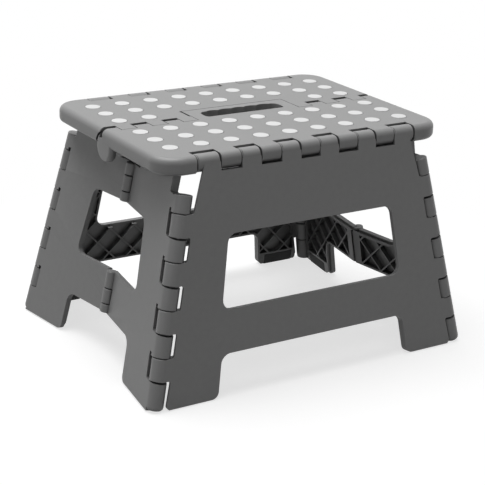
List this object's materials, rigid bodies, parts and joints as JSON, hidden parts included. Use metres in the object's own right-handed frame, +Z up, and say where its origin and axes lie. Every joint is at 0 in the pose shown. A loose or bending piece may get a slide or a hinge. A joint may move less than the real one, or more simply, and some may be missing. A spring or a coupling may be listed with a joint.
{
  "type": "folding step stool",
  "caption": "Low folding step stool with a dotted two-part tread, window panels on all sides, a finger slot as its handle, and hinges that let it fold into a flat slab.",
  "frame": {"origin": "on the floor, under the middle of the tread", "axes": "+X along the long side, to the right; +Y to the rear; +Z up"},
  "size_m": [0.35, 0.2764, 0.2205],
  "materials": {
    "tread_plastic": "moulded, fine grain, mid grey",
    "panel_plastic": "moulded, fine grain, mid grey",
    "grip_dot_plastic": "soft, slightly rough, off-white",
    "pin_steel": "plain drawn wire",
    "pad_rubber": "matt black"
  },
  "bodies": {
    "front_side": {"front_side_panel": "panel_plastic", "front_top_hinge_pin": "pin_steel", "left_front_corner_pin": "pin_steel", "right_front_corner_pin": "pin_steel", "left_front_side_foot_pad": "pad_rubber", "right_front_side_foot_pad": "pad_rubber"},
    "front_step": {"front_tread": "tread_plastic", "front_inner_grip_dots": "grip_dot_plastic", "front_middle_grip_dots": "grip_dot_plastic", "front_outer_grip_dots": "grip_dot_plastic", "left_centre_hinge_pin": "pin_steel", "right_centre_hinge_pin": "pin_steel"},
    "rear_step": {"rear_tread": "tread_plastic", "rear_inner_left_grip_dots": "grip_dot_plastic", "rear_inner_right_grip_dots": "grip_dot_plastic", "rear_middle_grip_dots": "grip_dot_plastic", "rear_outer_grip_dots": "grip_dot_plastic"},
    "rear_side": {"rear_side_panel": "panel_plastic", "rear_top_hinge_pin": "pin_steel", "left_rear_corner_pin": "pin_steel", "right_rear_corner_pin": "pin_steel", "left_rear_side_foot_pad": "pad_rubber", "right_rear_side_foot_pad": "pad_rubber"},
    "left_front_end": {"left_front_end_panel": "panel_plastic", "left_front_end_foot_pad": "pad_rubber"},
    "left_rear_end": {"left_rear_end_panel": "panel_plastic", "left_rear_end_foot_pad": "pad_rubber"},
    "right_front_end": {"right_front_end_panel": "panel_plastic", "right_front_end_foot_pad": "pad_rubber"},
    "right_rear_end": {"right_rear_end_panel": "panel_plastic", "right_rear_end_foot_pad": "pad_rubber"}
  },
  "joints": [
    {"name": "front_top_hinge", "type": "hinge", "parent": "front_side", "child": "front_step", "pos_m": [0, -0.103, 0.212], "axis": [1, 0, 0], "range_deg": [0, 82.67]},
    {"name": "centre_hinge", "type": "hinge", "parent": "front_step", "child": "rear_step", "pos_m": [0, 0, 0.2036], "axis": [-1, 0, 0], "range_deg": [0, 180]},
    {"name": "rear_top_hinge", "type": "hinge", "parent": "rear_step", "child": "rear_side", "pos_m": [0, 0.103, 0.212], "axis": [1, 0, 0], "range_deg": [0, 82.67]},
    {"name": "left_front_corner_hinge", "type": "hinge", "parent": "front_side", "child": "left_front_end", "pos_m": [-0.1672, -0.1303, 0], "axis": [-0.2058, -0.125, -0.9706], "range_deg": [0, 83.61]},
    {"name": "right_front_corner_hinge", "type": "hinge", "parent": "front_side", "child": "right_front_end", "pos_m": [0.1672, -0.1303, 0], "axis": [-0.2058, 0.125, 0.9706], "range_deg": [0, 83.61]},
    {"name": "left_rear_corner_hinge", "type": "hinge", "parent": "rear_side", "child": "left_rear_end", "pos_m": [-0.1672, 0.1303, 0], "axis": [0.2058, -0.125, 0.9706], "range_deg": [0, 83.61]},
    {"name": "right_rear_corner_hinge", "type": "hinge", "parent": "rear_side", "child": "right_rear_end", "pos_m": [0.1672, 0.1303, 0], "axis": [0.2058, 0.125, -0.9706], "range_deg": [0, 83.61]}
  ],
  "couplings": [
    {"joint": "front_top_hinge", "follows": "centre_hinge", "ratio": 0.45923},
    {"joint": "rear_top_hinge", "follows": "centre_hinge", "ratio": 0.45923},
    {"joint": "left_front_corner_hinge", "follows": "centre_hinge", "ratio": 0.46444},
    {"joint": "left_rear_corner_hinge", "follows": "centre_hinge", "ratio": 0.46444},
    {"joint": "right_front_corner_hinge", "follows": "centre_hinge", "ratio": 0.46444},
    {"joint": "right_rear_corner_hinge", "follows": "centre_hinge", "ratio": 0.46444}
  ]
}
